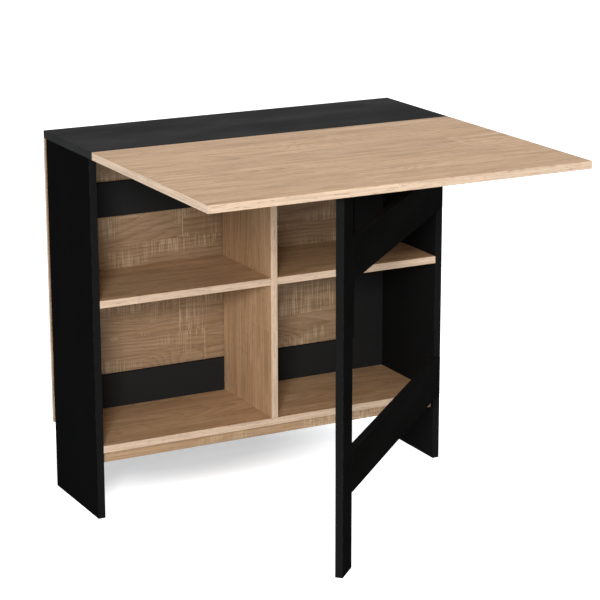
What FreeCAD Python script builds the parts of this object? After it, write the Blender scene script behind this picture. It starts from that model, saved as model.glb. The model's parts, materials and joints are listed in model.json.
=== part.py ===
import FreeCAD, Part
import os

# Gate-leg kitchen table with an open storage cabinet, in millimetres, +Z up.
# The origin is the middle of the whole footprint, on the floor: X runs along the cabinet,
# -Y points from the cabinet to the raised leaf, and the gate leg stands open under the leaf.

# ---- driving dimensions: boards ----
WIDTH = 778.0               # over the outside faces of the side panels
HEIGHT = 735.0              # floor to the table's upper face
SIDE_DEPTH = 218.0          # side panel, front edge to rear edge
BOARD = 15.0                # melamine-faced board, all the main panels
EDGE_BREAK = 0.4            # chamfer of every board edge

FRONT_OVERHANG = 14.0       # fixed top, past the side panels' front edges
REAR_OVERHANG = 13.0        # fixed top, past the side panels' rear edges
LEAF_LENGTH = 505.0         # drop leaf, hinged edge to free edge
LEAF_GAP = 1.5              # open joint between the fixed top and the leaf

BOTTOM_SHELF_TOP = 148.5
MID_SHELF_TOP = 441.0
APRON_HEIGHT = 22.0         # rail under the bottom shelf's front edge
APRON_SETBACK = 10.0        # from the shelf's front edge to the rail's face

FRAME_BOARD = 7.0           # thin black boards behind the side panels
FRAME_INSET = 7.0           # from the side panels' outside faces to the back frame
BACK_RAIL_HEIGHT = 71.0
UPPER_BACK_RAIL_DROP = 100.0    # fixed top's underside to the upper back rail
BACK_STILE_WIDTH = 70.0
BACK_BOARD = 8.0            # wood-faced back panel

# ---- driving dimensions: gate ----
GATE_ANGLE = 44.0           # opening of the gate, from shut against the cabinet
GATE_REACH = 688.0          # hinge pin to the leg's free edge
GATE_CLEARANCE = 1.0        # shut gate to the cabinet's front edges
LEG_WIDTH = 55.0
LEG_CLEARANCE = 0.5         # top of the leg to the leaf it carries
GATE_RAIL_HEIGHT = 80.0
LOWER_GATE_RAIL_BOTTOM = 147.0
UPPER_GATE_RAIL_DROP = 93.0     # fixed top's underside to the upper gate rail

# ---- driving dimensions: butt hinges ----
HINGE_LENGTH = 60.0
HINGE_PLATE_WIDTH = 24.0    # pin axis to the plate's outer edge
HINGE_PLATE = 1.5
KNUCKLE_RADIUS = 3.0
KNUCKLE_COUNT = 5
KNUCKLE_GAP = 0.3           # end play between two knuckles
KNUCKLE_CLEARANCE = 0.4     # knuckle to the wood it turns against
PIN_RADIUS = 1.5
PIN_RUNNING_FIT = 0.05      # radial, between the pin and the turning knuckles
PIN_HEAD_RADIUS = 2.4
PIN_HEAD = 1.0
SCREWS_PER_PLATE = 3
SCREW_END_MARGIN = 10.0     # hinge end to its first screw
LEAF_HINGE_OFFSET = 200.0   # cabinet's middle to each leaf hinge, clear of the leg's path
GATE_END_SETBACK = 3.0      # pin axis to the end of a gate rail

# ---- driving dimensions: fasteners ----
SCREW_HEAD_RADIUS = 3.2
SCREW_RADIUS = 1.6
HINGE_SCREW_LENGTH = 12.0
BACK_SCREW_LENGTH = 38.0
BACK_SCREW_HEAD = 1.6
BACK_SCREW_ROWS = 4
CROSS_WIDTH = 0.8           # driver recess in a screw head
CROSS_DEPTH = 0.7
DOWEL_RADIUS = 4.0
DOWEL_LENGTH = 30.0
DOWEL_IN_FACE = 10.0        # how deep a dowel sits in the board it stands on
DOWEL_CHAMFER = 0.8
APRON_DOWEL_RADIUS = 3.0
CAM_RADIUS = 7.5
CAM_DEPTH = 12.0
CAM_DISTANCE = 24.0         # board end to the cam's axis
CAM_BOLT_RADIUS = 2.5       # threaded end, in the board face
CAM_BOLT_SHANK = 3.0
CAM_BOLT_NECK = 1.8
CAM_BOLT_HEAD = 3.0
CAM_BOLT_BITE = 10.0
CAM_CLEARANCE = 0.4
CAM_CROSS_WIDTH = 1.6
CAM_CROSS_DEPTH = 1.4
FASTENER_MARGIN = 38.0      # side panel edge to its first row of fasteners
DOWEL_OFFSET = 32.0         # cam row to the dowel beside it
GATE_DOWEL_INSET = 20.0     # gate rail's upper or lower edge to its dowel

# ---- planes that follow from them ----
LEFT = -WIDTH / 2
RIGHT = WIDTH / 2
INNER_LEFT = LEFT + BOARD
INNER_RIGHT = RIGHT - BOARD
LEAF_REACH = FRONT_OVERHANG + LEAF_GAP + LEAF_LENGTH
BACK_REACH = SIDE_DEPTH + FRAME_BOARD + BACK_BOARD
FRONT = (LEAF_REACH - BACK_REACH) / 2
REAR = FRONT + SIDE_DEPTH
FRAME_REAR = REAR + FRAME_BOARD
TOP_FRONT = FRONT - FRONT_OVERHANG
TOP_REAR = REAR + REAR_OVERHANG
TOP_UNDERSIDE = HEIGHT - BOARD
LEAF_REAR = TOP_FRONT - LEAF_GAP
LEAF_FRONT = LEAF_REAR - LEAF_LENGTH
BOTTOM_SHELF_UNDERSIDE = BOTTOM_SHELF_TOP - BOARD
MID_SHELF_UNDERSIDE = MID_SHELF_TOP - BOARD
UPPER_BACK_RAIL_TOP = TOP_UNDERSIDE - UPPER_BACK_RAIL_DROP
UPPER_GATE_RAIL_BOTTOM = TOP_UNDERSIDE - UPPER_GATE_RAIL_DROP - GATE_RAIL_HEIGHT
DIVIDER_LEFT = -BOARD / 2
DIVIDER_RIGHT = BOARD / 2
FRONT_FASTENERS = FRONT + FASTENER_MARGIN
REAR_FASTENERS = REAR - FASTENER_MARGIN
PLATE_SEAT = KNUCKLE_RADIUS + KNUCKLE_CLEARANCE     # pin axis to the wood under a plate
GATE_PIN_X = INNER_RIGHT - PLATE_SEAT
GATE_PIN_Y = FRONT - GATE_CLEARANCE + PLATE_SEAT
LEAF_PIN_Y = TOP_FRONT - LEAF_GAP / 2
LEAF_PIN_Z = TOP_UNDERSIDE - PLATE_SEAT

X = FreeCAD.Vector(1, 0, 0)
Y = FreeCAD.Vector(0, 1, 0)
Z = FreeCAD.Vector(0, 0, 1)

boards = {}                 # node name to its one board
cutters = {}                # node name to the holes drilled in that board
hardware = {}               # node name to a list of identical separate solids


def box(low, high):
    size = [high[i] - low[i] for i in range(3)]
    return Part.makeBox(*size, FreeCAD.Vector(*low))


def rod(radius, start, direction, length):
    return Part.makeCylinder(radius, length, start, direction)


def placed(shape, origin, along, up):
    """The shape with its own X along one direction and its own Z along another, at a point."""
    side = up.cross(along)
    turn = FreeCAD.Matrix(along.x, side.x, up.x, origin.x,
                          along.y, side.y, up.y, origin.y,
                          along.z, side.z, up.z, origin.z,
                          0, 0, 0, 1)
    moved = shape.copy()
    moved.Placement = FreeCAD.Placement(turn).multiply(shape.Placement)
    return moved


def add_board(node, low, high):
    """A board with every edge broken, waiting for its holes."""
    panel = box(low, high)
    boards[node] = panel.makeChamfer(EDGE_BREAK, panel.Edges)
    cutters[node] = []


def add_hardware(node, solid):
    hardware.setdefault(node, []).append(solid)


# ---- cabinet boards ----
def make_carcass():
    for node, low_x in (("left_side_panel", LEFT), ("right_side_panel", INNER_RIGHT)):
        add_board(node, (low_x, FRONT, 0), (low_x + BOARD, REAR, TOP_UNDERSIDE))
    add_board("top_panel", (LEFT, TOP_FRONT, TOP_UNDERSIDE), (RIGHT, TOP_REAR, HEIGHT))
    add_board("bottom_shelf", (INNER_LEFT, FRONT, BOTTOM_SHELF_UNDERSIDE),
              (INNER_RIGHT, REAR, BOTTOM_SHELF_TOP))
    add_board("shelf_apron",
              (INNER_LEFT, FRONT + APRON_SETBACK, BOTTOM_SHELF_UNDERSIDE - APRON_HEIGHT),
              (INNER_RIGHT, FRONT + APRON_SETBACK + BOARD, BOTTOM_SHELF_UNDERSIDE))
    add_board("centre_divider", (DIVIDER_LEFT, FRONT, BOTTOM_SHELF_TOP),
              (DIVIDER_RIGHT, REAR, TOP_UNDERSIDE))
    for node, low_x, high_x in (("left_mid_shelf", INNER_LEFT, DIVIDER_LEFT),
                                ("right_mid_shelf", DIVIDER_RIGHT, INNER_RIGHT)):
        add_board(node, (low_x, FRONT, MID_SHELF_UNDERSIDE), (high_x, REAR, MID_SHELF_TOP))


def make_back():
    """Two rails between two stiles, and the wood-faced panel that closes the back."""
    low_x = LEFT + FRAME_INSET
    high_x = RIGHT - FRAME_INSET
    lower_rail_top = BOTTOM_SHELF_TOP + BACK_RAIL_HEIGHT
    upper_rail_bottom = UPPER_BACK_RAIL_TOP - BACK_RAIL_HEIGHT
    for node, low_z in (("lower_back_rail", BOTTOM_SHELF_TOP), ("upper_back_rail", upper_rail_bottom)):
        add_board(node, (low_x, REAR, low_z), (high_x, FRAME_REAR, low_z + BACK_RAIL_HEIGHT))
    stile = BOARD - FRAME_INSET + BACK_STILE_WIDTH
    for node, x in (("left_back_stile", low_x), ("right_back_stile", high_x - stile)):
        add_board(node, (x, REAR, lower_rail_top), (x + stile, FRAME_REAR, upper_rail_bottom))
    add_board("back_panel", (LEFT, FRAME_REAR, BOTTOM_SHELF_UNDERSIDE),
              (RIGHT, FRAME_REAR + BACK_BOARD, TOP_UNDERSIDE))


def make_leaf():
    add_board("front_leaf", (LEFT, LEAF_FRONT, TOP_UNDERSIDE), (RIGHT, LEAF_REAR, HEIGHT))


# ---- gate, drawn shut with its hinge pin on the Z axis, then swung open ----
def swung(shape):
    """Carries a piece of the shut gate to its open place."""
    turned = shape.copy()
    turned.rotate(FreeCAD.Vector(0, 0, 0), Z, GATE_ANGLE)
    turned.translate(FreeCAD.Vector(GATE_PIN_X, GATE_PIN_Y, 0))
    return turned


def make_gate():
    face = -PLATE_SEAT
    inner = LEG_WIDTH - GATE_REACH
    add_board("gate_leg", (-GATE_REACH, face - BOARD, 0), (inner, face, TOP_UNDERSIDE - LEG_CLEARANCE))
    for node, low_z in gate_rails():
        add_board(node, (inner, face - BOARD, low_z),
                  (-GATE_END_SETBACK, face, low_z + GATE_RAIL_HEIGHT))


def gate_rails():
    return (("lower_gate_rail", LOWER_GATE_RAIL_BOTTOM), ("upper_gate_rail", UPPER_GATE_RAIL_BOTTOM))


def left_there(shape):
    """For a fastener of the cabinet or the leaf, which isn't swung."""
    return shape


# ---- fasteners, each drawn on its own axes ----
def dowel(radius):
    """Beech dowel along +X, from its buried end at -DOWEL_IN_FACE."""
    pin = rod(radius, FreeCAD.Vector(-DOWEL_IN_FACE, 0, 0), X, DOWEL_LENGTH)
    rims = [edge for edge in pin.Edges if isinstance(edge.Curve, Part.Circle)]
    return pin.makeChamfer(DOWEL_CHAMFER, rims)


def add_dowel(node, point, direction, up, homes, radius=DOWEL_RADIUS, move=left_there):
    """A dowel that crosses the joint at the point, and the hole for it in both boards."""
    add_hardware(node, move(placed(dowel(radius), point, direction, up)))
    hole = rod(radius, FreeCAD.Vector(-DOWEL_IN_FACE, 0, 0), X, DOWEL_LENGTH)
    for home in homes:
        cutters[home].append(placed(hole, point, direction, up))


def cam_bolt():
    """Cam bolt along +X: its thread bites at x below 0, and its head ends inside the cam."""
    neck_start = CAM_DISTANCE - CAM_RADIUS + CAM_CLEARANCE
    head_start = CAM_DISTANCE - CAM_BOLT_HEAD / 2
    thread = rod(CAM_BOLT_RADIUS, FreeCAD.Vector(-CAM_BOLT_BITE, 0, 0), X, CAM_BOLT_BITE)
    shank = rod(CAM_BOLT_SHANK, FreeCAD.Vector(0, 0, 0), X, neck_start)
    neck = rod(CAM_BOLT_NECK, FreeCAD.Vector(neck_start, 0, 0), X, head_start - neck_start)
    head = rod(CAM_BOLT_HEAD, FreeCAD.Vector(head_start, 0, 0), X, CAM_BOLT_HEAD)
    return thread.fuse([shank, neck, head]).removeSplitter()


def driver_cross(head_radius, width, depth):
    """Cross recess around the Z axis, sunk upwards from z = 0."""
    half = width / 2
    arm = head_radius * 0.6     # leaves a sound rim around the recess
    return box((-arm, -half, 0), (arm, half, depth)).fuse(box((-half, -arm, 0), (half, arm, depth)))


def cam_lock():
    """Cam that opens on the face at z = -BOARD / 2, with a slot for the bolt and a driver cross."""
    floor = -BOARD / 2
    drum = rod(CAM_RADIUS, FreeCAD.Vector(CAM_DISTANCE, 0, floor), Z, CAM_DEPTH)
    room = CAM_BOLT_HEAD + CAM_CLEARANCE
    slot = box((CAM_DISTANCE - 2 * CAM_RADIUS, -room, -room), (CAM_DISTANCE + room, room, room))
    cross = driver_cross(CAM_RADIUS, CAM_CROSS_WIDTH, CAM_CROSS_DEPTH)
    cross.translate(FreeCAD.Vector(CAM_DISTANCE, 0, floor))
    return drum.cut([slot, cross])


def add_cam(point, direction, cam_side, face_home, cam_home):
    """A cam fitting that pulls cam_home's end onto face_home; the cam opens towards -cam_side."""
    add_hardware("cam_bolts", placed(cam_bolt(), point, direction, cam_side))
    add_hardware("cam_locks", placed(cam_lock(), point, direction, cam_side))
    thread = rod(CAM_BOLT_RADIUS, FreeCAD.Vector(-CAM_BOLT_BITE, 0, 0), X, CAM_BOLT_BITE)
    cutters[face_home].append(placed(thread, point, direction, cam_side))
    bore = rod(CAM_BOLT_SHANK + CAM_CLEARANCE, FreeCAD.Vector(0, 0, 0), X, CAM_DISTANCE)
    pocket = rod(CAM_RADIUS, FreeCAD.Vector(CAM_DISTANCE, 0, -BOARD / 2), Z, CAM_DEPTH)
    cutters[cam_home].append(placed(bore.fuse(pocket), point, direction, cam_side))


def screw(head_height, length):
    """Countersunk screw whose head lies flush with z = 0 and whose point is at z = length."""
    head = Part.makeCone(SCREW_HEAD_RADIUS, SCREW_RADIUS, head_height)
    shank = rod(SCREW_RADIUS, FreeCAD.Vector(0, 0, head_height), Z, length - head_height - SCREW_RADIUS)
    point = Part.makeCone(SCREW_RADIUS, 0, SCREW_RADIUS, FreeCAD.Vector(0, 0, length - SCREW_RADIUS))
    return head.fuse([shank, point]).removeSplitter()


def recessed(plain_screw):
    """The same screw with the driver cross sunk in its head."""
    return plain_screw.cut(driver_cross(SCREW_HEAD_RADIUS, CROSS_WIDTH, CROSS_DEPTH))


# ---- butt hinge: pin along Z from 0 to HINGE_LENGTH, plate towards +X, seat at y = PLATE_SEAT ----
def knuckle_span(index):
    pitch = HINGE_LENGTH / KNUCKLE_COUNT
    trim = KNUCKLE_GAP / 2
    return index * pitch + trim, (index + 1) * pitch - trim


def screw_heights():
    step = (HINGE_LENGTH - 2 * SCREW_END_MARGIN) / (SCREWS_PER_PLATE - 1)
    return [SCREW_END_MARGIN + index * step for index in range(SCREWS_PER_PLATE)]


def in_plate(one_screw):
    """A screw in each of the plate's holes, head flush with its inner face, point towards +Y."""
    middle = (PLATE_SEAT + HINGE_PLATE_WIDTH) / 2
    inner_face = PLATE_SEAT - HINGE_PLATE
    return [placed(one_screw, FreeCAD.Vector(middle, inner_face, height), X, Y)
            for height in screw_heights()]


def hinge_half(first_knuckle, bore_radius):
    """One plate with every second knuckle, from the first one given."""
    inner_face = PLATE_SEAT - HINGE_PLATE
    half = box((PLATE_SEAT, inner_face, 0), (HINGE_PLATE_WIDTH, PLATE_SEAT, HINGE_LENGTH))
    for index in range(first_knuckle, KNUCKLE_COUNT, 2):
        low, high = knuckle_span(index)
        barrel = rod(KNUCKLE_RADIUS, FreeCAD.Vector(0, 0, low), Z, high - low)
        # the plate's root: it leaves the barrel on its tangent and fills out to the plate's seat
        web = box((0, inner_face, low), (PLATE_SEAT, KNUCKLE_RADIUS, high))
        lip = box((KNUCKLE_RADIUS / 2, inner_face, low), (PLATE_SEAT, PLATE_SEAT, high))
        half = half.fuse([barrel, web, lip])
    bore = rod(bore_radius, FreeCAD.Vector(0, 0, -PIN_HEAD), Z, HINGE_LENGTH + 2 * PIN_HEAD)
    return half.removeSplitter().cut([bore] + in_plate(screw(HINGE_PLATE, HINGE_SCREW_LENGTH)))


def hinge_pin():
    """Straight pin with a small head at each end."""
    shaft = rod(PIN_RADIUS, FreeCAD.Vector(0, 0, -PIN_HEAD), Z, HINGE_LENGTH + 2 * PIN_HEAD)
    heads = [rod(PIN_HEAD_RADIUS, FreeCAD.Vector(0, 0, z), Z, PIN_HEAD) for z in (-PIN_HEAD, HINGE_LENGTH)]
    return shaft.fuse(heads).removeSplitter()


def add_hinge_half(kind, side, axes, home, move=left_there):
    """One plate and its screws on a board; side is 'fixed' or 'moving'."""
    if side == "moving":
        half = hinge_half(1, PIN_RADIUS + PIN_RUNNING_FIT)
    else:
        half = hinge_half(0, PIN_RADIUS)
    name = kind + "_hinge_" + side
    plain = screw(HINGE_PLATE, HINGE_SCREW_LENGTH)
    add_hardware(name + "_plates", move(placed(half, *axes)))
    for solid, hole in zip(in_plate(recessed(plain)), in_plate(plain)):
        add_hardware(name + "_screws", move(placed(solid, *axes)))
        cutters[home].append(placed(hole, *axes))


def make_leaf_hinges():
    for middle in (-LEAF_HINGE_OFFSET, LEAF_HINGE_OFFSET):
        # the pin runs along X; a plate's own +Y is up against the boards
        fixed_end = FreeCAD.Vector(middle - HINGE_LENGTH / 2, LEAF_PIN_Y, LEAF_PIN_Z)
        moving_end = FreeCAD.Vector(middle + HINGE_LENGTH / 2, LEAF_PIN_Y, LEAF_PIN_Z)
        add_hinge_half("leaf", "fixed", (fixed_end, Y, X), "top_panel")
        add_hinge_half("leaf", "moving", (moving_end, -Y, -X), "front_leaf")
        add_hardware("leaf_hinge_pins", placed(hinge_pin(), fixed_end, Y, X))


def make_gate_hinges():
    for node, rail_bottom in gate_rails():
        low = rail_bottom + (GATE_RAIL_HEIGHT - HINGE_LENGTH) / 2
        fixed_end = FreeCAD.Vector(GATE_PIN_X, GATE_PIN_Y, low + HINGE_LENGTH)
        add_hinge_half("gate", "fixed", (fixed_end, Y, -Z), "right_side_panel")
        add_hinge_half("gate", "moving", (FreeCAD.Vector(0, 0, low), -X, Z), node, swung)
        add_hardware("gate_hinge_pins", placed(hinge_pin(), fixed_end, Y, -Z))


# ---- where the fasteners go ----
def fasten_top():
    """Cams and dowels between the fixed top and the three uprights that carry it."""
    uprights = (("left_side_panel", LEFT + BOARD / 2, -X), ("right_side_panel", RIGHT - BOARD / 2, X),
                ("centre_divider", 0, -X))
    for node, x, cam_side in uprights:
        for y, towards in ((FRONT_FASTENERS, 1), (REAR_FASTENERS, -1)):
            add_cam(FreeCAD.Vector(x, y, TOP_UNDERSIDE), -Z, cam_side, "top_panel", node)
            beside = FreeCAD.Vector(x, y + towards * DOWEL_OFFSET, TOP_UNDERSIDE)
            add_dowel("carcass_dowels", beside, -Z, X, ("top_panel", node))


def fasten_bottom_shelf():
    for node, x, inward in (("left_side_panel", INNER_LEFT, X), ("right_side_panel", INNER_RIGHT, -X)):
        middle = BOTTOM_SHELF_TOP - BOARD / 2
        for y, towards in ((FRONT_FASTENERS, 1), (REAR_FASTENERS, -1)):
            add_cam(FreeCAD.Vector(x, y, middle), inward, Z, node, "bottom_shelf")
            beside = FreeCAD.Vector(x, y + towards * DOWEL_OFFSET, middle)
            add_dowel("carcass_dowels", beside, inward, Z, (node, "bottom_shelf"))


def fasten_divider_foot():
    for y, towards in ((FRONT_FASTENERS, 1), (REAR_FASTENERS, -1)):
        add_cam(FreeCAD.Vector(0, y, BOTTOM_SHELF_TOP), Z, -X, "bottom_shelf", "centre_divider")
        beside = FreeCAD.Vector(0, y + towards * DOWEL_OFFSET, BOTTOM_SHELF_TOP)
        add_dowel("carcass_dowels", beside, Z, X, ("bottom_shelf", "centre_divider"))


def fasten_mid_shelves():
    """Two dowels at each end; the divider's own are staggered so that they don't meet."""
    middle = MID_SHELF_TOP - BOARD / 2
    joints = (("left_mid_shelf", "left_side_panel", INNER_LEFT, X, 0),
              ("left_mid_shelf", "centre_divider", DIVIDER_LEFT, -X, 0),
              ("right_mid_shelf", "centre_divider", DIVIDER_RIGHT, X, DOWEL_OFFSET),
              ("right_mid_shelf", "right_side_panel", INNER_RIGHT, -X, 0))
    for shelf, upright, x, inward, stagger in joints:
        for y, towards in ((FRONT_FASTENERS, 1), (REAR_FASTENERS, -1)):
            point = FreeCAD.Vector(x, y + towards * stagger, middle)
            add_dowel("shelf_dowels", point, inward, Z, (upright, shelf))


def fasten_apron():
    y = FRONT + APRON_SETBACK + BOARD / 2
    middle = BOTTOM_SHELF_UNDERSIDE - APRON_HEIGHT / 2
    for node, x, inward in (("left_side_panel", INNER_LEFT, X), ("right_side_panel", INNER_RIGHT, -X)):
        point = FreeCAD.Vector(x, y, middle)
        add_dowel("apron_dowels", point, inward, Z, (node, "shelf_apron"), APRON_DOWEL_RADIUS)


def fasten_back():
    """Long screws from behind, through the panel and the frame, into the side panels' edges."""
    low = BOTTOM_SHELF_TOP + BACK_RAIL_HEIGHT / 2
    high = UPPER_BACK_RAIL_TOP - BACK_RAIL_HEIGHT / 2
    step = (high - low) / (BACK_SCREW_ROWS - 1)
    inset = (FRAME_INSET + BOARD) / 2
    plain = screw(BACK_SCREW_HEAD, BACK_SCREW_LENGTH)
    for side, x in (("left", LEFT + inset), ("right", RIGHT - inset)):
        stile_rows = [side + "_back_stile"] * (BACK_SCREW_ROWS - 2)
        for row, frame_piece in enumerate(["lower_back_rail"] + stile_rows + ["upper_back_rail"]):
            head = FreeCAD.Vector(x, FRAME_REAR + BACK_BOARD, low + row * step)
            add_hardware("back_screws", placed(recessed(plain), head, X, -Y))
            for home in ("back_panel", frame_piece, side + "_side_panel"):
                cutters[home].append(placed(plain, head, X, -Y))


def fasten_gate():
    """Two dowels where each rail meets the leg, drawn in the shut gate."""
    y = -PLATE_SEAT - BOARD / 2
    for node, low in gate_rails():
        for z in (low + GATE_DOWEL_INSET, low + GATE_RAIL_HEIGHT - GATE_DOWEL_INSET):
            point = FreeCAD.Vector(LEG_WIDTH - GATE_REACH, y, z)
            add_dowel("gate_dowels", point, X, Z, ("gate_leg", node), move=swung)


def export():
    os.makedirs("parts", exist_ok=True)
    gate_boards = ["gate_leg"] + [node for node, _ in gate_rails()]
    for node, panel in boards.items():
        if cutters[node]:
            panel = panel.cut(cutters[node])
        if node in gate_boards:
            panel = swung(panel)
        panel.exportStep("parts/" + node + ".step")
    for node, solids in hardware.items():
        Part.makeCompound(solids).exportStep("parts/" + node + ".step")


make_carcass()
make_back()
make_leaf()
make_gate()
make_leaf_hinges()
make_gate_hinges()
fasten_top()
fasten_bottom_shelf()
fasten_divider_foot()
fasten_mid_shelves()
fasten_apron()
fasten_back()
fasten_gate()
export()
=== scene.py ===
# %% [markdown]
# # Gate-leg kitchen table with a storage cabinet
#
# The object is flat-pack furniture: fifteen-millimetre boards, some faced with black melamine
# and some with a sawn-oak decor, joined by dowels, cams and small butt hinges. Every board and
# fitting is already modelled in CAD, with its drilled holes and broken edges, so this lesson
# is about finishes. It dresses each board in a material that knows the board's own size and
# grain direction, then sets the light and the camera.

import json
import math

import bpy
from mathutils import Euler, Matrix, Vector

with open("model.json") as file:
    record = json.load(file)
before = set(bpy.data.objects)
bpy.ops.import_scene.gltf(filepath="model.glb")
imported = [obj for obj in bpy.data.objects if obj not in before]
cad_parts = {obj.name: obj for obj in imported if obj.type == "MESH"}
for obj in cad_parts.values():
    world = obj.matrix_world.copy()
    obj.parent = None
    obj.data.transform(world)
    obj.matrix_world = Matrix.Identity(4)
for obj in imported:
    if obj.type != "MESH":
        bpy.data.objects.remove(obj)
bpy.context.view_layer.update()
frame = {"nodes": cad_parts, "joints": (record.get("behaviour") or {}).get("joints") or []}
nodes = frame["nodes"]
joints = {joint["name"]: joint for joint in frame["joints"]}
MM = 0.001

# %% [markdown]
# ## Three small helpers
#
# Colours are easiest to choose as sRGB hex, the way a paint chart gives them, but a shader
# wants linear light, so one function converts them. The second adds a node to a material: its
# settings go in by name, and each input takes either a plain value or another node's output.
# Building nodes in code this way keeps a long material readable from top to bottom. The third
# starts a material and hands back the two parts of it that every finish works on.

# %% Helpers for colours, nodes and materials
def linear(hex_colour):
    """An sRGB hex colour as linear red, green, blue and a full alpha."""
    channels = [int(hex_colour[i:i + 2], 16) / 255 for i in (1, 3, 5)]
    # The curve and its numbers are those of the sRGB standard.
    return [c / 12.92 if c <= 0.04045 else ((c + 0.055) / 1.055) ** 2.4
            for c in channels] + [1.0]


def add(tree, kind, inputs, **settings):
    """Adds a node; each input is a value, or a socket that gets linked."""
    node = tree.nodes.new("ShaderNode" + kind)
    for name, value in settings.items():
        setattr(node, name, value)
    for key, value in inputs.items():
        if isinstance(value, bpy.types.NodeSocket):
            tree.links.new(value, node.inputs[key])
        else:
            node.inputs[key].default_value = value
    return node


def new_material(name):
    """A material named for its finish, with its node tree and its shader."""
    material = bpy.data.materials.new(name)
    material.use_nodes = True
    print("finish", name)
    return material, material.node_tree, material.node_tree.nodes["Principled BSDF"]


# %% [markdown]
# ## Each board's own directions
#
# A decor board is cut so that its grain runs along its length, and its edges are banded. For
# a material to follow that, it needs coordinates that belong to the board: x along the grain,
# y across it and z through the thickness, measured from the board's middle. The boards stand
# in only four ways, and the gate's boards are also turned by the angle that the gate stands
# open. The table says how each board is turned; its size is then measured from its own mesh.

# %% How each board is turned
QUARTER = math.pi / 2
gate_angle = -math.radians(joints["gate_swing"]["range_deg"][0])
LYING = Euler((0, 0, 0))
ON_EDGE = Euler((QUARTER, 0, 0))
UPRIGHT = Euler((0, -QUARTER, 0))
IN_GATE = Euler((QUARTER, 0, gate_angle))

OAK_BOARDS = {"front_leaf": LYING, "bottom_shelf": LYING, "left_mid_shelf": LYING,
              "right_mid_shelf": LYING, "shelf_apron": ON_EDGE, "back_panel": ON_EDGE,
              "centre_divider": UPRIGHT}
BLACK_BOARDS = {"top_panel": LYING, "left_side_panel": UPRIGHT, "right_side_panel": UPRIGHT,
                "upper_back_rail": ON_EDGE, "lower_back_rail": ON_EDGE,
                "left_back_stile": ON_EDGE, "right_back_stile": ON_EDGE,
                "gate_leg": IN_GATE, "upper_gate_rail": IN_GATE, "lower_gate_rail": IN_GATE}


def board_size(node, turn):
    """The board's middle in the frame, and half its size along its own three directions."""
    back = turn.to_matrix().transposed()
    own = [back @ vertex.co for vertex in nodes[node].data.vertices]
    low = Vector([min(point[i] for point in own) for i in range(3)])
    high = Vector([max(point[i] for point in own) for i in range(3)])
    return turn.to_matrix() @ ((low + high) / 2), (high - low) / 2


for name, turn in {**OAK_BOARDS, **BLACK_BOARDS}.items():
    print(name, "measures", [round(2 * v / MM, 1) for v in board_size(name, turn)[1]], "mm")

# %% [markdown]
# ## Where the edges are
#
# Wear, edge banding and its glue line all sit close to a board's edges, so the material needs
# to know how far each point is from one. Inside a plain box that is simple arithmetic: take
# the distances to the three pairs of faces and sort them. The smallest is zero, because the
# point lies on a face, and the middle one is the distance to the nearest edge. A bevel or
# pointiness node could find edges too, but it works only in the renderer and would be lost
# when the model is exported.

# %% A board's coordinates
def board_coordinates(tree, node, turn):
    """The board's own coordinates, and its distances to the ends, the wide faces and an edge."""
    middle, half = board_size(node, turn)
    place = add(tree, "TexCoord", {}).outputs["Object"]
    own = add(tree, "Mapping", {"Vector": place, "Location": middle, "Rotation": turn},
              vector_type="TEXTURE").outputs["Vector"]
    reach = add(tree, "VectorMath", {0: own}, operation="ABSOLUTE").outputs["Vector"]
    gaps = add(tree, "VectorMath", {0: half, 1: reach}, operation="SUBTRACT").outputs["Vector"]
    end, side, face = add(tree, "SeparateXYZ", {0: gaps}).outputs
    smaller = add(tree, "Math", {0: end, 1: side}, operation="MINIMUM").outputs[0]
    larger = add(tree, "Math", {0: end, 1: side}, operation="MAXIMUM").outputs[0]
    inner = add(tree, "Math", {0: larger, 1: face}, operation="MINIMUM").outputs[0]
    edge = add(tree, "Math", {0: smaller, 1: inner}, operation="MAXIMUM").outputs[0]
    return own, end, face, edge


# %% Its edge band
BAND_START = 0.3 * MM       # this far in from the wide faces, the band on an edge starts
BAND_FULL = 0.7 * MM        # and from here it shows fully
GLUE_INSIDE = 0.8 * MM      # how far from the edge the glue line lies on a wide face
GLUE_HALF = 0.15 * MM       # half of the glue line's width


def edge_band(tree, face, edge):
    """1 on the band round the board's edges, and 1 on the hair-thin glue line beside it."""
    band = add(tree, "MapRange", {"Value": face, "From Min": BAND_START, "From Max": BAND_FULL},
               interpolation_type="SMOOTHSTEP").outputs["Result"]
    line = add(tree, "Math", {0: edge, 1: GLUE_INSIDE, 2: GLUE_HALF},
               operation="COMPARE").outputs[0]
    on_face = add(tree, "Math", {0: face, 1: BAND_START}, operation="LESS_THAN").outputs[0]
    glue = add(tree, "Math", {0: line, 1: on_face}, operation="MULTIPLY").outputs[0]
    return band, glue


# %% [markdown]
# ## Marks and tints
#
# What makes a finish look real is marks of the right size: a streak of grain is a few
# millimetres wide and as long as a hand, and a wiped haze is as wide as one. Noise stretched to
# that size, and cut off between two levels, gives such marks. A tint is then laid over the
# colour wherever the marks are, as a printer lays one ink over another.

# %% Marks and tints
def marks(tree, place, across_mm, along_mm, start, full, detail=2.0):
    """Soft marks about that wide and that long: 1 on a mark, 0 between marks."""
    per_mark = (1 / (along_mm * MM), 1 / (across_mm * MM), 1 / (across_mm * MM))
    stretched = add(tree, "VectorMath", {0: place, 1: per_mark},
                    operation="MULTIPLY").outputs["Vector"]
    noise = add(tree, "TexNoise", {"Vector": stretched, "Scale": 1.0,
                                   "Detail": detail}).outputs[0]
    return add(tree, "MapRange", {"Value": noise, "From Min": start, "From Max": full},
               interpolation_type="SMOOTHSTEP").outputs["Result"]


def tinted(tree, colour, tint, mask, amount):
    """Lays a tint over the colour where the mask is, as thickly as the amount says."""
    cover = add(tree, "Math", {0: mask, 1: amount}, operation="MULTIPLY").outputs[0]
    return add(tree, "Mix", {"Factor": cover, 6: colour, 7: linear(tint)},
               data_type="RGBA").outputs[2]


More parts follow.
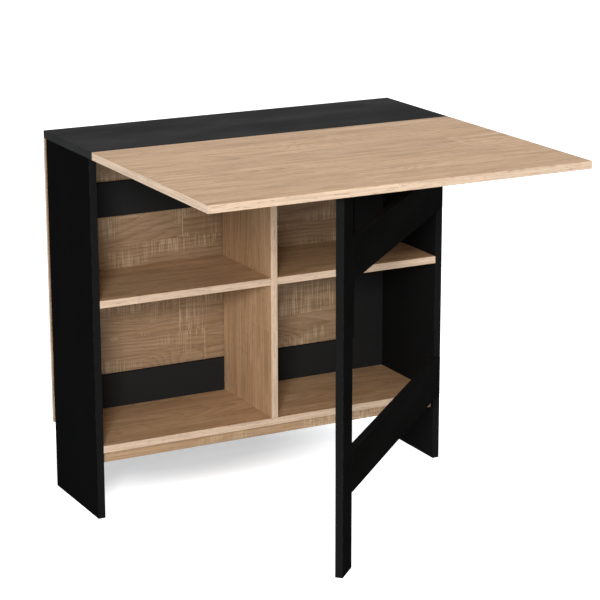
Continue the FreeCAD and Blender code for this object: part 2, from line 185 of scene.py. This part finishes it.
# %% [markdown]
# ## Sawn-oak decor: the grain's direction
#
# The wood-look boards aren't oak but chipboard under a printed paper and clear melamine
# resin. The print runs along the board, and the bands glued round its edges run along those
# edges. On a board's long sides the two agree. On its ends they don't, so there the
# coordinates are turned before anything is drawn.

# %% The grain's direction
ON_END = 0.5 * MM           # a point nearer than this to the board's end lies on its end band


def along_the_grain(tree, own, end):
    """The board's own coordinates, turned on its two ends to follow the band there."""
    along, across, depth = add(tree, "SeparateXYZ", {0: own}).outputs
    turned = add(tree, "CombineXYZ", {0: across, 1: depth, 2: along}).outputs[0]
    on_end = add(tree, "Math", {0: end, 1: ON_END}, operation="LESS_THAN").outputs[0]
    return add(tree, "Mix", {"Factor": on_end, 4: own, 5: turned},
               data_type="VECTOR").outputs[1]


# %% [markdown]
# ## Sawn-oak decor: planks
#
# The print shows narrow planks side by side, cut to one length but staggered from row to row.
# Dividing the board's coordinates by a plank's size and taking the whole part tells which
# plank a point is on, and that number seeds the plank's random tone and figure, so that no
# two are alike. The part that is left over says where on its plank the point lies.

# %% Planks of the print
PLANK_WIDTH = 100 * MM
PLANK_LENGTH = 640 * MM
HALF_PLANK = 0.5            # counted in planks: the farthest that a point is from a joint


def planks(tree, grain, phase):
    """Each plank's random numbers, the place on the plank, and how near its joints are."""
    along, across = add(tree, "SeparateXYZ", {0: grain}).outputs[:2]
    rows = add(tree, "Math", {0: across, 1: 1 / PLANK_WIDTH, 2: phase},
               operation="MULTIPLY_ADD").outputs[0]
    row = add(tree, "Math", {0: rows}, operation="FLOOR").outputs[0]
    stagger = add(tree, "TexWhiteNoise", {"W": row}, noise_dimensions="1D").outputs["Value"]
    columns = add(tree, "Math", {0: along, 1: 1 / PLANK_LENGTH, 2: stagger},
                  operation="MULTIPLY_ADD").outputs[0]
    column = add(tree, "Math", {0: columns}, operation="FLOOR").outputs[0]
    number = add(tree, "CombineXYZ", {0: row, 1: column, 2: phase}).outputs[0]
    chance = add(tree, "TexWhiteNoise", {"Vector": number},
                 noise_dimensions="3D").outputs["Color"]

    counted = add(tree, "CombineXYZ", {0: columns, 1: rows}).outputs[0]
    share = add(tree, "VectorMath", {0: counted}, operation="FRACTION").outputs["Vector"]
    on_plank = add(tree, "VectorMath", {0: share, 1: (PLANK_LENGTH, PLANK_WIDTH, 0)},
                   operation="MULTIPLY").outputs["Vector"]
    joint = add(tree, "Math", {0: rows, 1: HALF_PLANK}, operation="PINGPONG").outputs[0]
    butt = add(tree, "Math", {0: columns, 1: HALF_PLANK}, operation="PINGPONG").outputs[0]
    return chance, on_plank, joint, butt


# %% [markdown]
# ## Sawn-oak decor: the cut through the log
#
# A plank's figure comes from how it was cut. Growth rings are cylinders around the middle of
# the log, the pith, and a plank is a flat slice through them. Near the pith the slice shows
# pointed arches, one inside another, and far from it straight lines. So the pattern isn't
# drawn but cut: each plank gets its own distance and slope to the pith, and the place of
# every point from there is measured.

# %% The pith
PITH_ASIDE = 120 * MM       # how widely the logs' middles are spread across a plank
PITH_BELOW = 45 * MM        # how deep under the plank's face they may lie
PITH_SLOPE = 0.30           # and how steeply they may run out of the face, up or down


def from_the_pith(tree, on_plank, chance):
    """How far aside from the log's middle, and how far above it, each point lies."""
    along, across = add(tree, "SeparateXYZ", {0: on_plank}).outputs[:2]
    first, second, third = add(tree, "SeparateXYZ", {0: chance}).outputs
    aside = add(tree, "Math", {0: first, 1: PITH_ASIDE, 2: across},
                operation="MULTIPLY_ADD").outputs[0]
    aside = add(tree, "Math", {0: aside, 1: (PLANK_WIDTH + PITH_ASIDE) / 2},
                operation="SUBTRACT").outputs[0]
    slope = add(tree, "Math", {0: third, 1: PITH_SLOPE, 2: -PITH_SLOPE / 2},
                operation="MULTIPLY_ADD").outputs[0]
    above = add(tree, "Math", {0: second, 1: PITH_BELOW}, operation="MULTIPLY").outputs[0]
    above = add(tree, "Math", {0: along, 1: slope, 2: above},
                operation="MULTIPLY_ADD").outputs[0]
    return add(tree, "CombineXYZ", {1: aside, 2: above}).outputs[0]


# %% [markdown]
# ## Sawn-oak decor: knots
#
# Where a branch left the trunk, the rings swell round it, and a plank that is sawn through
# there shows a knot. Only about half of the planks get one: the other knots fall past the
# plank's side, where the saw left them. A knot is longer than it is wide, because the saw
# cuts the branch at a slant, so distances along the plank count for less.

# %% Knots
KNOT_SPREAD = (PLANK_LENGTH, 2 * PLANK_WIDTH, 0)
KNOT_SLANT = (0.5, 1, 1)    # a distance along the plank counts half
KNOT_REACH = 52 * MM        # how far around a knot the rings swell
KNOT_SWELL = 34 * MM        # and how much, at its middle


def knot_swell(tree, on_plank, chance):
    """How far the plank's knot pushes the rings outwards at each point."""
    knot = add(tree, "VectorMath", {0: chance, 1: KNOT_SPREAD},
               operation="MULTIPLY").outputs["Vector"]
    to_knot = add(tree, "VectorMath", {0: on_plank, 1: knot},
                  operation="SUBTRACT").outputs["Vector"]
    to_knot = add(tree, "VectorMath", {0: to_knot, 1: KNOT_SLANT},
                  operation="MULTIPLY").outputs["Vector"]
    far = add(tree, "VectorMath", {0: to_knot}, operation="LENGTH").outputs["Value"]
    return add(tree, "MapRange", {"Value": far, "From Max": KNOT_REACH, "To Min": KNOT_SWELL,
                                  "To Max": 0.0},
               interpolation_type="SMOOTHSTEP").outputs["Result"]


# %% [markdown]
# ## Sawn-oak decor: growth rings
#
# The distance from the pith, counted in rings, now gives the figure. Each ring starts pale,
# deepens outwards and ends in a sharp dark line, where the next year's growth begins, so only
# the count's part after the point is needed. A little noise lets the log grow unevenly and
# bends the lines. An oak's real rings are two or three millimetres apart, which is too fine
# to show from across a room, so they are drawn coarser.

# %% Growth rings
RING_SPACING = 8 * MM
RING_PALE = 0.3             # the part of a ring's width that stays pale
UNEVEN_GROWTH = 24 * MM     # how far the noise may push a ring
UNEVEN_EVERY = (5, 14, 14)  # changes of growth in a metre of log, along it and across it


def growth_rings(tree, on_plank, chance, uneven_place):
    """1 on the dark line that ends each growth ring, where the plank's face cuts it."""
    slow = add(tree, "VectorMath", {0: uneven_place, 1: UNEVEN_EVERY},
               operation="MULTIPLY").outputs["Vector"]
    growth = add(tree, "TexNoise", {"Vector": slow, "Scale": 1.0,
                                    "Detail": 3.0}).outputs["Color"]
    bent = add(tree, "VectorMath", {0: growth, 1: (UNEVEN_GROWTH,) * 3,
                                    2: from_the_pith(tree, on_plank, chance)},
               operation="MULTIPLY_ADD").outputs["Vector"]
    radius = add(tree, "VectorMath", {0: bent}, operation="LENGTH").outputs["Value"]
    radius = add(tree, "Math", {0: radius, 1: knot_swell(tree, on_plank, chance)},
                 operation="ADD").outputs[0]
    rings = add(tree, "Math", {0: radius, 1: 1 / RING_SPACING}, operation="MULTIPLY").outputs[0]
    in_ring = add(tree, "Math", {0: rings}, operation="FRACT").outputs[0]
    return add(tree, "MapRange", {"Value": in_ring, "From Min": RING_PALE},
               interpolation_type="SMOOTHSTEP").outputs["Result"]


print("oak decor in planks of", round(PLANK_LENGTH / MM), "by", round(PLANK_WIDTH / MM),
      "mm, with a ring every", round(RING_SPACING / MM), "mm")

# %% [markdown]
# ## Sawn-oak decor: marks of the print
#
# Besides the rings the print has broad clouds of tone, darker heartwood, grey streaks, fine
# fibres and short dark pores. The saw's marks run straight across the grain: pale strokes a
# few millimetres apart, strong in some patches and gone in others. A real pore is a third of a
# millimetre wide and a fibre less than one. Both are too fine to show and are drawn wider.
# Each plank reads its marks from a place of its own, some metres away, so a mark stops where
# its plank ends.

# %% Marks of the print
SAW_PITCH_MM = 4.6
OAK_MARKS = {               # width and length in mm, noise level at the start and in full, detail
    "clouds": (22, 380, 0.25, 0.75, 3.0),
    "heartwood": (34, 170, 0.52, 0.76, 2.0),
    "streaks": (5, 300, 0.46, 0.72, 4.0),
    "fibres": (2.2, 80, 0.40, 0.75, 3.0),
    "pores": (1.6, 17, 0.56, 0.72, 2.0),
    "strokes": (75, SAW_PITCH_MM / 2, 0.42, 0.64, 2.0),
    "patches": (70, 150, 0.47, 0.62, 2.0)}
PLACES_APART = (7, 3, 2)    # metres: how far away a plank's own place may be
RING_BROKEN = 0.6           # how much of a ring's line goes where no fibre crosses it
SEAM_WIDTH = 0.6 * MM       # the dark line on each side of the joint between two planks
CUT_WIDTH = 0.9 * MM        # the pale line on each side of the joint between their ends


def oak_masks(tree, grain, phase):
    """Where everything on the print lies: 1 on it and 0 off it, by its name."""
    chance, on_plank, joint, butt = planks(tree, grain, phase)
    place = add(tree, "VectorMath", {0: chance, 1: PLACES_APART, 2: grain},
                operation="MULTIPLY_ADD").outputs["Vector"]
    on = {kind: marks(tree, place, *size) for kind, size in OAK_MARKS.items()}
    on["tone"] = add(tree, "SeparateXYZ", {0: chance}).outputs[1]
    on["saw"] = add(tree, "Math", {0: on["strokes"], 1: on["patches"]},
                    operation="MULTIPLY").outputs[0]
    on["seam"] = add(tree, "Math", {0: joint, 1: SEAM_WIDTH / PLANK_WIDTH},
                     operation="LESS_THAN").outputs[0]
    on["cut"] = add(tree, "Math", {0: butt, 1: CUT_WIDTH / PLANK_LENGTH},
                    operation="LESS_THAN").outputs[0]
    unbroken = add(tree, "Math", {0: on["fibres"], 1: RING_BROKEN, 2: 1 - RING_BROKEN},
                   operation="MULTIPLY_ADD").outputs[0]
    on["rings"] = add(tree, "Math", {0: growth_rings(tree, on_plank, chance, place),
                                     1: unbroken}, operation="MULTIPLY").outputs[0]
    return on


# %% [markdown]
# ## Sawn-oak decor: colours
#
# The colour is laid on as a printer would, in the order of the list below, from the ground to
# the glue line. Three of its amounts are chosen for each board: how strong the rings' figure
# is, how strong the saw's marks are, and how far the print is greyed and darkened. On the back
# panel that greying is partly its print and partly a painted shade of the deep compartments.
# The edge band is printed paler, so it covers all that comes before it in the list, and it
# shares the fine grain that comes after.

# %% Colours of the print
OAK_LIGHT = "#d8b28c"
OAK_MIDDLE = "#c19a72"
OAK_DEEP = "#94714f"
OAK_DARK = "#6b4c32"
OAK_GREY = "#7c6852"
OAK_SAWN = "#eed8b4"
OAK_BAND = "#e0c9b2"
GLUE_LINE = "#5d4630"
JOINTS_SAWN = 0.9           # the joints' lines show with the saw's marks, a little weaker


def oak_colour(tree, on, figure, sawing, greying_and_shade):
    """The print's colour: the ground, with each tint laid over it in turn."""
    # On the back panel the greyed layer is also a painted shade of the deep compartments.
    layers = [(OAK_MIDDLE, "clouds", 1.0), (OAK_DEEP, "tone", 0.24),
              (OAK_DEEP, "heartwood", 0.42), (OAK_GREY, "all", greying_and_shade),
              (OAK_DARK, "rings", figure), (OAK_SAWN, "saw", sawing),
              (OAK_DARK, "seam", JOINTS_SAWN * sawing), (OAK_SAWN, "cut", JOINTS_SAWN * sawing),
              (OAK_BAND, "band", 0.66), (OAK_GREY, "streaks", 0.26),
              (OAK_DARK, "fibres", 0.23), (OAK_DARK, "pores", 0.42), (GLUE_LINE, "glue", 0.45)]
    colour = linear(OAK_LIGHT)
    for tint, kind, amount in layers:
        if amount > 0:
            colour = tinted(tree, colour, tint, on[kind], amount)
    return colour


# %% [markdown]
# ## Sawn-oak decor: the finish
#
# The plate that presses the paper and the resin together is etched in step with the print. So
# the marks that draw the colour drive a shallow relief as well, in which the saw's marks stand
# up and the pores and fibres are sunk, and the fibres are duller than the resin between them.

# %% Sawn-oak decor melamine
OAK_GLOSS = (0.42, 0.6)     # roughness between the fibres and on them
OAK_SHEEN = 0.2             # a matt resin: far less sheen than a polished one
OAK_RELIEF = 0.08 * MM
OAK_RELIEF_SHOWN = 0.6


def sawn_oak(node, turn, phase, **amounts):
    """Sawn-oak decor melamine for one board, with banded edges."""
    material, tree, shader = new_material("sawn_oak_melamine_" + node)
    own, end, face, edge = board_coordinates(tree, node, turn)
    on = oak_masks(tree, along_the_grain(tree, own, end), phase)
    on["band"], on["glue"] = edge_band(tree, face, edge)
    on["all"] = 1.0
    tree.links.new(oak_colour(tree, on, **amounts), shader.inputs["Base Color"])

    gloss = add(tree, "MapRange", {"Value": on["fibres"], "To Min": OAK_GLOSS[0],
                                   "To Max": OAK_GLOSS[1]}).outputs["Result"]
    tree.links.new(gloss, shader.inputs["Roughness"])
    shader.inputs["Specular IOR Level"].default_value = OAK_SHEEN
    height = add(tree, "Math", {0: on["saw"], 1: on["pores"]}, operation="SUBTRACT").outputs[0]
    height = add(tree, "Math", {0: height, 1: on["fibres"]}, operation="SUBTRACT").outputs[0]
    relief = add(tree, "Bump", {"Height": height, "Distance": OAK_RELIEF,
                                "Strength": OAK_RELIEF_SHOWN})
    tree.links.new(relief.outputs["Normal"], shader.inputs["Normal"])
    return material


# %% [markdown]
# ## Black melamine
#
# The black boards are melamine too, with a fine pearl embossing that breaks up reflections:
# the colour is a very dark neutral grey, and what the eye reads as its shape is mostly sheen.
# A real pearl is under half a millimetre, too fine to show from across a room, so it is drawn
# at two millimetres. The edges and corners are slightly paler, where the thin edge band is
# rounded off and rubbed by hands, and a faint haze of wiping marks varies the sheen.

# %% Black melamine
BLACK_BAND = "#191919"
BLACK_GLUE = "#060606"
BLACK_WORN = "#3c3c3c"
BLACK_MARKS = {             # width and length in mm, noise level at the start and in full, detail
    "haze": (90, 240, 0.25, 0.75, 3.0),
    "scuffs": (7, 11, 0.35, 0.70, 3.0),
    "pearl": (2, 2, 0.2, 0.8, 1.0)}
RUBBED = 0.9 * MM           # how far in from an edge hands have rubbed it
BLACK_GLOSS = (0.48, 0.60)  # roughness where the board is wiped clean and where it is hazy
PEARL_RELIEF = 0.05 * MM
RELIEF_SHOWN = 0.5          # how strongly a relief shows, here and on the fittings


def black_melamine(node, turn, face_colour, sheen):
    """Pearl-embossed black melamine for one board, a little paler along its rubbed edges."""
    material, tree, shader = new_material("black_pearl_melamine_" + node)
    own, _, face, edge = board_coordinates(tree, node, turn)
    band, glue = edge_band(tree, face, edge)
    on = {kind: marks(tree, own, *size) for kind, size in BLACK_MARKS.items()}
    rubbed = add(tree, "MapRange", {"Value": edge, "From Min": RUBBED, "From Max": 0.0},
                 interpolation_type="SMOOTHSTEP").outputs["Result"]
    worn = add(tree, "Math", {0: rubbed, 1: on["scuffs"]}, operation="MULTIPLY").outputs[0]

    colour = tinted(tree, linear(face_colour), BLACK_BAND, band, 1.0)
    colour = tinted(tree, colour, BLACK_GLUE, glue, 0.7)
    colour = tinted(tree, colour, BLACK_WORN, worn, 0.5)
    tree.links.new(colour, shader.inputs["Base Color"])
    gloss = add(tree, "MapRange", {"Value": on["haze"], "To Min": BLACK_GLOSS[0],
                                   "To Max": BLACK_GLOSS[1]}).outputs["Result"]
    tree.links.new(gloss, shader.inputs["Roughness"])
    shader.inputs["Specular IOR Level"].default_value = sheen
    relief = add(tree, "Bump", {"Height": on["pearl"], "Distance": PEARL_RELIEF,
                                "Strength": RELIEF_SHOWN})
    tree.links.new(relief.outputs["Normal"], shader.inputs["Normal"])
    return material


# %% [markdown]
# ## Fittings
#
# Screws, cam bolts and the leaf's hinges are steel with a thin bright zinc plating, so they
# are metal with a soft, slightly cloudy sheen. The gate's hinges sit in plain sight on black
# boards and are lacquered black, and a lacquer hides the metal: it is a smooth dark coat with
# a faint orange-peel ripple. Cam locks are die-cast zinc, duller and greyer, with the grain of
# the mould. Dowels are turned beech, which is pale, dry and fine-grained. Each finish is one
# short function, in which patterns of that finish's own size tint the colour and drive the
# relief.

# %% Zinc-plated steel
EVENLY = (0.2, 0.8)         # noise levels that give soft marks all over a surface
ZINC_DULL = "#b4b6b8"
ZINC_BRIGHT = "#d2d3d2"


def zinc_plated_steel():
    """Bright zinc plating on pressed steel: cloudy sheen and fine drawing lines."""
    material, tree, shader = new_material("zinc_plated_pressed_steel")
    place = add(tree, "TexCoord", {}).outputs["Object"]
    clouds = marks(tree, place, 6, 6, *EVENLY, detail=3.0)
    lines = marks(tree, place, 0.5, 14, *EVENLY)
    colour = tinted(tree, linear(ZINC_DULL), ZINC_BRIGHT, clouds, 1.0)
    tree.links.new(colour, shader.inputs["Base Color"])
    shader.inputs["Metallic"].default_value = 1.0
    gloss = add(tree, "MapRange", {"Value": clouds, "To Min": 0.26, "To Max": 0.46})
    tree.links.new(gloss.outputs["Result"], shader.inputs["Roughness"])
    relief = add(tree, "Bump", {"Height": lines, "Distance": 0.02 * MM,
                                "Strength": RELIEF_SHOWN})
    tree.links.new(relief.outputs["Normal"], shader.inputs["Normal"])
    return material


# %% Black lacquered steel
LACQUER = "#101010"
LACQUER_RIPPLE = "#191919"


def black_lacquered_steel():
    """Black lacquer sprayed on pressed steel, with a fine orange-peel ripple."""
    material, tree, shader = new_material("black_lacquered_pressed_steel")
    place = add(tree, "TexCoord", {}).outputs["Object"]
    ripple = marks(tree, place, 1.5, 1.5, *EVENLY)
    colour = tinted(tree, linear(LACQUER), LACQUER_RIPPLE, ripple, 1.0)
    tree.links.new(colour, shader.inputs["Base Color"])
    shader.inputs["Roughness"].default_value = 0.4
    shader.inputs["Specular IOR Level"].default_value = 0.1
    relief = add(tree, "Bump", {"Height": ripple, "Distance": 0.03 * MM,
                                "Strength": RELIEF_SHOWN})
    tree.links.new(relief.outputs["Normal"], shader.inputs["Normal"])
    return material


# %% Cast zinc
CASTING = "#85888b"
CASTING_GRIT = "#a9abad"


def cast_zinc():
    """Die-cast zinc alloy: matt grey with the mould's grain."""
    material, tree, shader = new_material("die_cast_zinc")
    place = add(tree, "TexCoord", {}).outputs["Object"]
    grit = marks(tree, place, 1.2, 1.2, *EVENLY, detail=4.0)
    colour = tinted(tree, linear(CASTING), CASTING_GRIT, grit, 1.0)
    tree.links.new(colour, shader.inputs["Base Color"])
    shader.inputs["Metallic"].default_value = 1.0
    shader.inputs["Roughness"].default_value = 0.55
    relief = add(tree, "Bump", {"Height": grit, "Distance": 0.1 * MM,
                                "Strength": RELIEF_SHOWN})
    tree.links.new(relief.outputs["Normal"], shader.inputs["Normal"])
    return material


# %% Beech
BEECH = "#dcc09a"
BEECH_FLECK = "#b98f65"


def beech():
    """Dry turned beech: pale, with short darker flecks."""
    material, tree, shader = new_material("turned_beech")
    place = add(tree, "TexCoord", {}).outputs["Object"]
    flecks = marks(tree, place, 0.8, 5, 0.5, 0.75)
    colour = tinted(tree, linear(BEECH), BEECH_FLECK, flecks, 0.6)
    tree.links.new(colour, shader.inputs["Base Color"])
    shader.inputs["Roughness"].default_value = 0.75
    relief = add(tree, "Bump", {"Height": flecks, "Distance": 0.05 * MM,
                                "Strength": RELIEF_SHOWN})
    tree.links.new(relief.outputs["Normal"], shader.inputs["Normal"])
    return material


# %% [markdown]
# ## Dress the oak boards
#
# A CAD node keeps its mesh, and only the material in its slots changes. Each oak board starts
# its planks at a phase of its own, so that boards cut from the same print don't match. The
# leaf, the shelves and the divider have a calm print. The back panel has a coarser sheet of
# it, with a strong figure and plain saw marks. It is greyed and darkened, partly as its print
# and partly as a painted shade of the deep compartments. The apron has a greyed, rough-sawn
# sheet.

# %% Oak boards
FIRST_SEAM = {"front_leaf": 0.35, "bottom_shelf": 0.72, "left_mid_shelf": 0.11,
              "right_mid_shelf": 0.48, "shelf_apron": 0.5, "back_panel": 0.39,
              "centre_divider": 0.24}
CALM_PRINT = {"figure": 0.36, "sawing": 0.08, "greying_and_shade": 0.0}
# The back panel's greying also darkens it, a painted shade of the deep compartments.
OTHER_PRINTS = {"back_panel": {"figure": 0.62, "sawing": 0.35, "greying_and_shade": 0.62},
                "shelf_apron": {"figure": 0.34, "sawing": 0.62, "greying_and_shade": 0.36}}


def dress(node, material):
    """Gives every slot of a CAD node this material."""
    for slot in nodes[node].material_slots:
        slot.material = material


for name, turn in OAK_BOARDS.items():
    board_print = OTHER_PRINTS.get(name, CALM_PRINT)
    dress(name, sawn_oak(name, turn, FIRST_SEAM[name], **board_print))

# %% [markdown]
# ## Dress the black boards
#
# The black boards are all one black melamine, but some of their colours carry painted light.
# The gate's boards are painted deeper, a painted shade. The right side panel and the thin frame
# at the back are painted a shade greyer, a painted light. The rest keep the plain black, which
# lies between. The fixed top is a table surface that is wiped every day, so it has more sheen
# than the uprights.

# %% Black boards
BLACK_FACE = "#0c0c0c"
# The gate's black is a painted shade, darker than the plain black. The right side panel's black
# and the thin back frame's black are painted light, paler than it.
BLACK_GATE_PAINTED_SHADE = "#090908"
BLACK_RIGHT_PAINTED_LIGHT = "#181818"
BLACK_THIN_PAINTED_LIGHT = "#262626"
BLACKS_WITH_PAINTED_LIGHT = {"gate_leg": BLACK_GATE_PAINTED_SHADE, "upper_gate_rail": BLACK_GATE_PAINTED_SHADE,
                "lower_gate_rail": BLACK_GATE_PAINTED_SHADE, "right_side_panel": BLACK_RIGHT_PAINTED_LIGHT,
                "upper_back_rail": BLACK_THIN_PAINTED_LIGHT, "lower_back_rail": BLACK_THIN_PAINTED_LIGHT,
                "left_back_stile": BLACK_THIN_PAINTED_LIGHT, "right_back_stile": BLACK_THIN_PAINTED_LIGHT}
UPRIGHT_SHEEN = 0.0005
OTHER_SHEENS = {"top_panel": 0.02}

for name, turn in BLACK_BOARDS.items():
    dress(name, black_melamine(name, turn, BLACKS_WITH_PAINTED_LIGHT.get(name, BLACK_FACE),
                               OTHER_SHEENS.get(name, UPRIGHT_SHEEN)))

# %% [markdown]
# ## Dress the fittings
#
# A fitting's name says what it is, so its finish is picked by the first word in the list
# that its name holds. What no word names is a screw, a bolt or a hinge of the leaf, and those
# are all zinc-plated.

# %% Fittings
FINISH_BY_WORD = [("gate_hinge", black_lacquered_steel()), ("dowels", beech()),
                  ("cam_locks", cast_zinc()), ("", zinc_plated_steel())]

for name in nodes:
    if name not in OAK_BOARDS and name not in BLACK_BOARDS:
        dress(name, next(finish for word, finish in FINISH_BY_WORD if word in name))
print("dressed", len(nodes), "nodes")

# %% [markdown]
# ## Floor and background
#
# The table stands on a plain white floor that runs out to a white background. The floor is a
# diffuse white that also glows, but only for rays that show it: straight from the camera, by
# reflection or through glass. So it reads as white without throwing extra light on the
# object. The glow is weaker in an oval under the cabinet and just behind it. That oval is a
# painted shadow, laid where the lamps' real shadow falls, so both darken the floor there.

# %% What the background's glow is for
def only_seen(tree):
    """1 for rays that show the background: camera, glossy and transmission rays."""
    path = add(tree, "LightPath", {}).outputs
    direct = add(tree, "Math", {0: path["Is Camera Ray"], 1: path["Is Glossy Ray"]},
                 operation="MAXIMUM").outputs[0]
    return add(tree, "Math", {0: direct, 1: path["Is Transmission Ray"]},
               operation="MAXIMUM").outputs[0]


# %% White floor
FLOOR_SIZE = 60                     # metres: it reaches past everything that the lens sees
# The shade below is a painted shadow in the floor's glow, placed where the lamp throws the real
# one.
SHADE_MIDDLE = (-0.06, 0.41, 0)     # metres: at the cabinet's back, where the lamp throws it
SHADE_COUNTS = (0.53, 1.2, 1)       # a metre sideways counts about half, so it is a wide oval
SHADE_FULL = 0.07                   # counted so from its middle, it is full up to here
SHADE_GONE = 0.30                   # and gone from here
GLOW_IN_SHADE = 0.20

bpy.ops.object.select_all(action="DESELECT")
bpy.ops.mesh.primitive_plane_add(size=FLOOR_SIZE, location=(0, 0, 0))
floor = bpy.context.object
floor.name = "studio_floor"
paper, tree, matt = new_material("white_background_paper")
matt.inputs["Base Color"].default_value = linear("#e6ecf2")
matt.inputs["Roughness"].default_value = 0.9
matt.inputs["Specular IOR Level"].default_value = 0.0
matt.inputs["Emission Color"].default_value = linear("#ffffff")
place = add(tree, "TexCoord", {}).outputs["Object"]
from_shade = add(tree, "VectorMath", {0: place, 1: SHADE_MIDDLE},
                 operation="SUBTRACT").outputs["Vector"]
from_shade = add(tree, "VectorMath", {0: from_shade, 1: SHADE_COUNTS},
                 operation="MULTIPLY").outputs["Vector"]
away = add(tree, "VectorMath", {0: from_shade}, operation="LENGTH").outputs["Value"]
glow = add(tree, "MapRange", {"Value": away, "From Min": SHADE_FULL, "From Max": SHADE_GONE,
                              "To Min": GLOW_IN_SHADE, "To Max": 1.0},
           interpolation_type="SMOOTHSTEP").outputs["Result"]
glow = add(tree, "Math", {0: glow, 1: only_seen(tree)}, operation="MULTIPLY").outputs[0]
tree.links.new(glow, matt.inputs["Emission Strength"])
floor.data.materials.append(paper)

# %% [markdown]
# ## The room's light
#
# The world is all that surrounds the table and its floor. It is white where it is seen, and a
# plain light grey where it lights the object, which stands for the pale walls of a studio.

# %% World
world = bpy.data.worlds.new("studio")
bpy.context.scene.world = world
world.use_nodes = True
tree = world.node_tree
sky = add(tree, "Mix", {"Factor": only_seen(tree), 6: linear("#c0c0c0"), 7: linear("#ffffff")},
          data_type="RGBA").outputs[2]
tree.links.new(sky, tree.nodes["Background"].inputs["Color"])
tree.nodes["Background"].inputs["Strength"].default_value = 1.0
print("a floor", FLOOR_SIZE, "m wide under a plain pale world")

# %% [markdown]
# ## Lamps
#
# One soft lamp stands in front and to the left, low enough to shine under the leaf into the
# lower compartments, while the leaf's own shadow falls slantwise across the upper ones. That
# shadow tells the eye how far the leaf reaches out, so this lamp is kept small. A wide, weak
# lamp hangs overhead, and two weak fills, one on each side, keep the black boards from going
# flat.

# %% Four soft lamps
LAMPS = [                   # name, place and the point it faces, width in metres, watts
    ("front_softbox", (-2.7, -4.2, 2.2), (0, 0, 0.45), 1.0, 190),
    ("overhead_softbox", (0.2, -0.4, 3.2), (0, 0, 0.5), 2.4, 18),
    ("left_fill", (-3.0, -1.8, 0.9), (0, 0, 0.4), 1.6, 4),
    ("right_fill", (1.3, -4.6, 0.9), (0, 0, 0.4), 2.4, 6)]


def softbox(name, place, aim, width, watts):
    """A square area lamp that faces a point."""
    data = bpy.data.lights.new(name, "AREA")
    data.shape = "SQUARE"
    data.size = width
    data.energy = watts
    lamp = bpy.data.objects.new(name, data)
    lamp.location = place
    lamp.rotation_euler = (Vector(aim) - Vector(place)).to_track_quat("-Z", "Y").to_euler()
    bpy.context.collection.objects.link(lamp)
    print("lamp", name, "of", watts, "W at", place)


for settings in LAMPS:
    softbox(*settings)

# %% [markdown]
# ## Camera
#
# The camera stands in front and to the left, four metres away and above the table, with a
# long lens, so that the table's upright edges stay nearly parallel. Its place and its yaw,
# pitch and roll are real measures, and the focal length is given in pixels of the image,
# which is how a measured camera is usually written down.

# %% Camera
CAMERA_PLACE = Vector((-1915.7, -3613.8, 1550.6)) * MM
CAMERA_YAW = math.radians(27.71)
CAMERA_PITCH = math.radians(-15.32)
CAMERA_ROLL = math.radians(-0.10)
FOCAL_PIXELS = 2194.5
IMAGE_PIXELS = 600
SENSOR_MM = 36
SEES_TO = 100               # metres


def camera_turn():
    """The camera's axes: right, up and backwards, from its yaw, pitch and roll."""
    ahead = Vector((math.sin(CAMERA_YAW) * math.cos(CAMERA_PITCH),
                    math.cos(CAMERA_YAW) * math.cos(CAMERA_PITCH), math.sin(CAMERA_PITCH)))
    level = Vector((math.cos(CAMERA_YAW), -math.sin(CAMERA_YAW), 0))
    above = level.cross(ahead)
    right = math.cos(CAMERA_ROLL) * level + math.sin(CAMERA_ROLL) * above
    up = -math.sin(CAMERA_ROLL) * level + math.cos(CAMERA_ROLL) * above
    return Matrix((right, up, -ahead)).transposed().to_4x4()


lens = bpy.data.cameras.new("camera")
lens.sensor_width = SENSOR_MM
lens.lens = SENSOR_MM * FOCAL_PIXELS / IMAGE_PIXELS
lens.clip_end = SEES_TO
camera = bpy.data.objects.new("camera", lens)
camera.matrix_world = Matrix.Translation(CAMERA_PLACE) @ camera_turn()
bpy.context.collection.objects.link(camera)
bpy.context.scene.camera = camera
bpy.context.scene.view_settings.view_transform = "Standard"
print("camera at", [round(v, 3) for v in CAMERA_PLACE], "with a lens of",
      round(lens.lens, 1), "mm")
